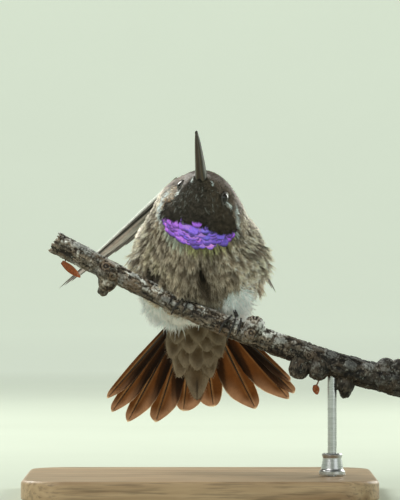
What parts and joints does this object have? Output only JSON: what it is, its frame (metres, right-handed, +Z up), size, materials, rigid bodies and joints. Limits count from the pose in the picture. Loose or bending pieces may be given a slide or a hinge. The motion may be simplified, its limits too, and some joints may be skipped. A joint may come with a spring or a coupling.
{
  "type": "perched hummingbird model",
  "caption": "Life-size male black-chinned hummingbird gripping a short cut twig, bill raised and tail fanned below, on a plain display stand.",
  "frame": {"origin": "middle of the stand base's flat underside, on the surface the stand rests on", "axes": "+Z up; the bird faces -Y with its bill raised; the bird's left side and the sawn end of the twig are towards +X"},
  "size_m": [0.0791, 0.0697, 0.0718],
  "materials": {
    "plumage": "soft matt feathers, grey-brown below, dull green above, black on the chin",
    "gorget": "iridescent violet scale feathers",
    "eye": "wet gloss",
    "bill": "satin horn",
    "wing_feathers": "satin dusky brown feather vanes",
    "tail_feathers": "thin rusty brown feather vanes that pass light",
    "tail_coverts": "soft grey-brown feathers with pale edges",
    "feet": "scaly black skin and dark claws",
    "bark": "rough grey-brown bark with pale lichen",
    "bud_scale": "dry rust-brown bud scales",
    "stand_wood": "pale satin wood",
    "stand_steel": "brushed"
  },
  "bodies": {
    "root": {"head": "plumage", "neck": "plumage", "trunk": "plumage", "rump": "plumage", "throat_gorget": "gorget", "eye_right": "eye", "eye_left": "eye", "bill_upper": "bill", "bill_lower": "bill", "wing_right_primaries": "wing_feathers", "wing_right_secondaries": "wing_feathers", "wing_right_coverts": "wing_feathers", "wing_left_primaries": "wing_feathers", "wing_left_secondaries": "wing_feathers", "wing_left_coverts": "wing_feathers", "tail_right_feather_1": "tail_feathers", "tail_right_feather_2": "tail_feathers", "tail_right_feather_3": "tail_feathers", "tail_right_feather_4": "tail_feathers", "tail_right_feather_5": "tail_feathers", "tail_left_feather_1": "tail_feathers", "tail_left_feather_2": "tail_feathers", "tail_left_feather_3": "tail_feathers", "tail_left_feather_4": "tail_feathers", "tail_left_feather_5": "tail_feathers", "undertail_coverts": "tail_coverts", "uppertail_coverts": "tail_coverts", "foot_right_toe_inner": "feet", "foot_right_toe_middle": "feet", "foot_right_toe_outer": "feet", "foot_right_toe_hind": "feet", "leg_right": "feet", "foot_left_toe_inner": "feet", "foot_left_toe_middle": "feet", "foot_left_toe_outer": "feet", "foot_left_toe_hind": "feet", "leg_left": "feet", "perch_twig": "bark", "perch_bud_scale_left": "bud_scale", "perch_bud_scale_right": "bud_scale", "stand_rod": "stand_steel", "stand_ferrule": "stand_steel", "stand_base": "stand_wood"}
  },
  "joints": []
}
